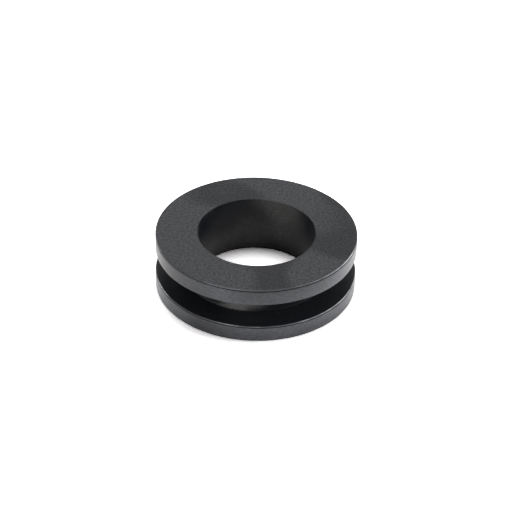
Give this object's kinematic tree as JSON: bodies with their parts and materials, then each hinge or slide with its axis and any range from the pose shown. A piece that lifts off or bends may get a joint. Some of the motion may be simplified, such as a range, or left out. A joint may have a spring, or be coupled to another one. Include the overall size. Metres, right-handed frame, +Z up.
{
  "type": "rubber grommet",
  "caption": "Black moulded rubber ring with a flange on each side of a deep panel groove and a plain round bore, for lining the edge of a cable hole in a panel.",
  "frame": {"origin": "centre of the bore in the lower flange's outer face, which the part stands on", "axes": "+Z up along the bore's axis, from the lower flange to the upper one; X and Y lie across it, and their turn is free because the part is a body of revolution"},
  "size_m": [0.035, 0.035, 0.0105],
  "materials": {
    "black_rubber": "matte moulded black rubber with a fine sparked grain"
  },
  "bodies": {
    "root": {"grommet": "black_rubber"}
  },
  "joints": []
}
